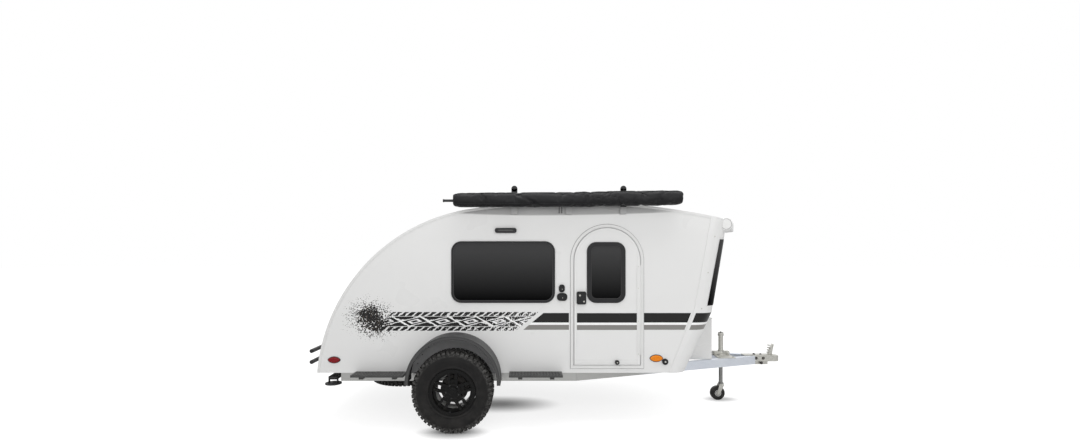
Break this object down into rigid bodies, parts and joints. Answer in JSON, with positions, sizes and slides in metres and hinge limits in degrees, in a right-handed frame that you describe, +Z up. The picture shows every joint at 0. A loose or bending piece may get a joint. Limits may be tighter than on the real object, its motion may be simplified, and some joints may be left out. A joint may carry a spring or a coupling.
{
  "type": "teardrop camping trailer",
  "caption": "Teardrop camping trailer with arched doors, side windows, moulded front cap, awning bag, off-road wheels under fenders and a jack with a caster at the tongue.",
  "frame": {"origin": "on the ground under the middle of the overall length and width", "axes": "+X forward to the coupler, +Y to the left side, +Z up"},
  "size_m": [4.8183, 2.184, 2.2312],
  "materials": {
    "wall": "gloss white gel coat on a sandwich panel",
    "trim_white": "satin white",
    "cap": "white moulded shell",
    "tinted_glass": "dark tint",
    "black_frame": "black powder coat",
    "black_plastic": "grained black moulding",
    "black_steel": "black powder coat",
    "bag_fabric": "coated charcoal cloth",
    "aluminium_bare": "mill finish, bright",
    "zinc_steel": "zinc plated",
    "black_rubber": "solid rubber",
    "floor": "sealed board",
    "tyre": "all-terrain rubber",
    "rim_black": "satin black",
    "drum": "cast and painted",
    "red_lens": "red lens",
    "amber_lens": "amber lens"
  },
  "bodies": {
    "trailer": {"side_wall_right": "wall", "side_wall_left": "wall", "roof_shell": "wall", "rear_panel": "wall", "door_trims": "trim_white", "edge_trims": "trim_white", "front_cap": "cap", "tongue_box": "cap", "roof_vent": "cap", "front_window": "tinted_glass", "side_window_panes": "tinted_glass", "side_window_frames": "black_frame", "fenders": "black_plastic", "side_steps": "black_steel", "rear_bumper": "black_steel", "axle": "black_steel", "spare_carrier": "black_steel", "stabiliser_mounts": "black_steel", "awning_bag": "bag_fabric", "awning_brackets": "black_steel", "hatch_hinge_base": "aluminium_bare", "frame_rails": "aluminium_bare", "frame_crossmembers": "aluminium_bare", "tongue_beams": "aluminium_bare", "coupler": "zinc_steel", "coupler_latch": "zinc_steel", "jack_mount": "zinc_steel", "floor_pan": "floor", "spare_tyre": "tyre", "spare_rim": "rim_black", "red_markers": "red_lens", "tail_lamps": "red_lens", "amber_markers": "amber_lens", "porch_lights": "black_plastic", "service_ports": "black_plastic"},
    "wheel_right": {"tyre_right": "tyre", "rim_right": "rim_black", "hub_right": "drum"},
    "wheel_left": {"tyre_left": "tyre", "rim_left": "rim_black", "hub_left": "drum"},
    "door_right": {"door_panel_right": "wall", "door_pane_right": "tinted_glass", "door_fittings_right": "black_frame"},
    "door_left": {"door_panel_left": "wall", "door_pane_left": "tinted_glass", "door_fittings_left": "black_frame"},
    "rear_hatch": {"hatch_panel": "wall", "hatch_hinge": "aluminium_bare"},
    "box_lid": {"tongue_box_lid": "cap"},
    "vent_cover": {"vent_lid": "cap"},
    "jack_leg": {"jack_leg": "zinc_steel"},
    "jack_fork": {"jack_fork": "zinc_steel"},
    "jack_wheel": {"jack_wheel": "black_rubber"},
    "stabiliser_right": {"stabiliser_leg_right": "black_steel"},
    "foot_right": {"stabiliser_foot_right": "black_steel"},
    "stabiliser_left": {"stabiliser_leg_left": "black_steel"},
    "foot_left": {"stabiliser_foot_left": "black_steel"}
  },
  "joints": [
    {"name": "wheel_right_spin", "type": "hinge", "parent": "trailer", "child": "wheel_right", "pos_m": [-1.018, -0.975, 0.365], "axis": [0, 1, 0], "continuous": true},
    {"name": "wheel_left_spin", "type": "hinge", "parent": "trailer", "child": "wheel_left", "pos_m": [-1.018, 0.975, 0.365], "axis": [0, 1, 0], "continuous": true},
    {"name": "door_right_swing", "type": "hinge", "parent": "trailer", "child": "door_right", "pos_m": [0.71, -0.8633, 1.077], "axis": [0, 0, 1], "range_deg": [0, 120]},
    {"name": "door_left_swing", "type": "hinge", "parent": "trailer", "child": "door_left", "pos_m": [0.71, 0.8633, 1.077], "axis": [0, 0, -1], "range_deg": [0, 120]},
    {"name": "hatch_lift", "type": "hinge", "parent": "trailer", "child": "rear_hatch", "pos_m": [-1.47465, 0, 1.81771], "axis": [0, 1, 0], "range_deg": [0, 80]},
    {"name": "box_lid_lift", "type": "hinge", "parent": "trailer", "child": "box_lid", "pos_m": [1.37462, 0, 0.9153], "axis": [0, -1, 0], "range_deg": [0, 50]},
    {"name": "vent_lift", "type": "hinge", "parent": "trailer", "child": "vent_cover", "pos_m": [0.072, 0, 2.11918], "axis": [0, 1, 0], "range_deg": [0, 60]},
    {"name": "jack_slide", "type": "slide", "parent": "trailer", "child": "jack_leg", "axis": [0, 0, 1], "range_m": [-0.15, 0.12]},
    {"name": "caster_swivel", "type": "hinge", "parent": "jack_leg", "child": "jack_fork", "pos_m": [1.782, 0, 0.177], "axis": [0, 0, 1], "continuous": true},
    {"name": "caster_spin", "type": "hinge", "parent": "jack_fork", "child": "jack_wheel", "pos_m": [1.744, 0, 0.076], "axis": [0, 1, 0], "continuous": true},
    {"name": "stabiliser_right_swing", "type": "hinge", "parent": "trailer", "child": "stabiliser_right", "pos_m": [-2.176, -0.372, 0.432], "axis": [1, 0, 0], "range_deg": [0, 62]},
    {"name": "foot_right_tilt", "type": "hinge", "parent": "stabiliser_right", "child": "foot_right", "pos_m": [-2.176, -0.795, 0.432], "axis": [1, 0, 0], "range_deg": [-62, 0]},
    {"name": "stabiliser_left_swing", "type": "hinge", "parent": "trailer", "child": "stabiliser_left", "pos_m": [-2.176, 0.372, 0.432], "axis": [-1, 0, 0], "range_deg": [0, 62]},
    {"name": "foot_left_tilt", "type": "hinge", "parent": "stabiliser_left", "child": "foot_left", "pos_m": [-2.176, 0.795, 0.432], "axis": [-1, 0, 0], "range_deg": [-62, 0]}
  ],
  "couplings": [
    {"joint": "foot_right_tilt", "follows": "stabiliser_right_swing", "ratio": -1},
    {"joint": "foot_left_tilt", "follows": "stabiliser_left_swing", "ratio": -1}
  ]
}
